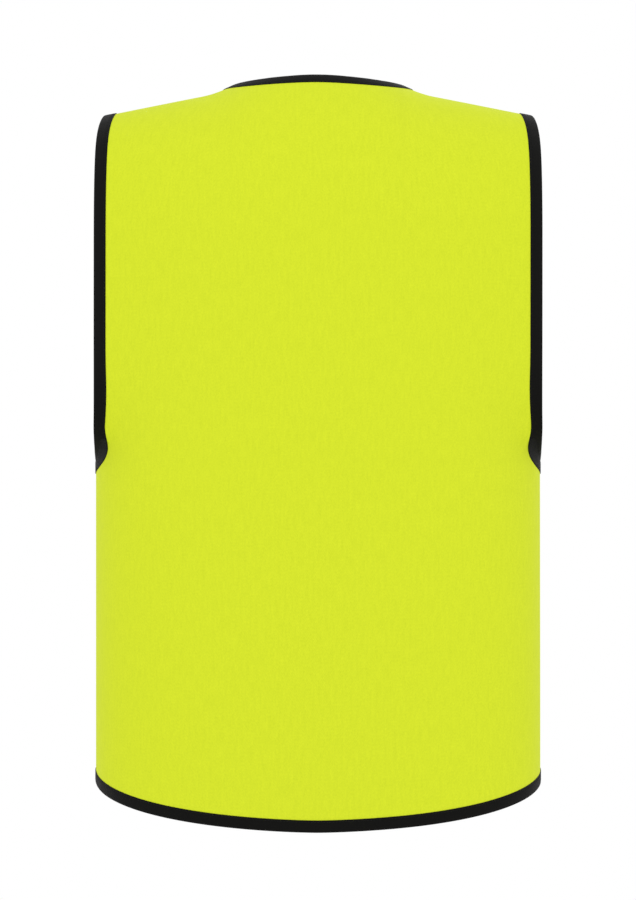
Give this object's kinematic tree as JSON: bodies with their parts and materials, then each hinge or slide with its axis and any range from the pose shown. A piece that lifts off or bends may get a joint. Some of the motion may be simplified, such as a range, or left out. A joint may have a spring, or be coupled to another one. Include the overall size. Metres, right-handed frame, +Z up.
{
  "type": "high visibility vest",
  "caption": "Plain sleeveless high visibility vest with bound armholes, V-neck and hem, and an open-ended front zip, hanging undone on its wearer's shape.",
  "frame": {"origin": "midway between the two neck points of the shoulder seams, where the wearer's shoulders hold the vest up", "axes": "+Z up, the wearer faces -Y, the wearer's left is +X"},
  "size_m": [0.4448, 0.2434, 0.7392],
  "materials": {
    "hi_vis_cloth": "matt fluorescent yellow knitted polyester",
    "binding_cloth": "matt black woven binding tape",
    "zip_tape": "matt black woven zip tape",
    "zip_plastic": "black moulded acetal",
    "slider_metal": "black painted zinc casting",
    "spring_steel": "bare spring steel",
    "label_satin": "blank white satin"
  },
  "bodies": {
    "back": {"back_panel": "hi_vis_cloth", "neck_binding_back": "binding_cloth", "armhole_binding_left_back": "binding_cloth", "armhole_binding_right_back": "binding_cloth", "hem_binding_back": "binding_cloth", "neck_label": "label_satin", "care_label": "label_satin"},
    "front_left": {"front_panel_left": "hi_vis_cloth", "neck_binding_left": "binding_cloth", "armhole_binding_left_front": "binding_cloth", "hem_binding_left": "binding_cloth", "zip_tape_left": "zip_tape", "zip_teeth_left": "zip_plastic", "zip_top_stop_left": "zip_plastic", "zip_box": "zip_plastic"},
    "front_right": {"front_panel_right": "hi_vis_cloth", "neck_binding_right": "binding_cloth", "armhole_binding_right_front": "binding_cloth", "hem_binding_right": "binding_cloth", "zip_tape_right": "zip_tape", "zip_teeth_right": "zip_plastic", "zip_top_stop_right": "zip_plastic", "zip_insertion_pin": "zip_plastic"},
    "slider": {"zip_slider_body": "slider_metal", "zip_slider_bridge": "slider_metal", "zip_lock_spring": "spring_steel"},
    "pull": {"zip_pull": "slider_metal"}
  },
  "joints": [
    {"name": "front_left_swing", "type": "hinge", "parent": "back", "child": "front_left", "pos_m": [0.2226, 0, 0], "axis": [0, 0, 1], "range_deg": [0, 110], "stiffness_Nm_per_rad": 0.02},
    {"name": "front_right_swing", "type": "hinge", "parent": "back", "child": "front_right", "pos_m": [-0.2226, 0, 0], "axis": [0, 0, -1], "range_deg": [0, 110], "stiffness_Nm_per_rad": 0.02},
    {"name": "slider_travel", "type": "slide", "parent": "front_left", "child": "slider", "axis": [0, 0, 1], "range_m": [0, 0.4645]},
    {"name": "pull_swing", "type": "hinge", "parent": "slider", "child": "pull", "pos_m": [0.0059, -0.12155, -0.69266], "axis": [-1, 0, 0], "range_deg": [0, 170]}
  ]
}
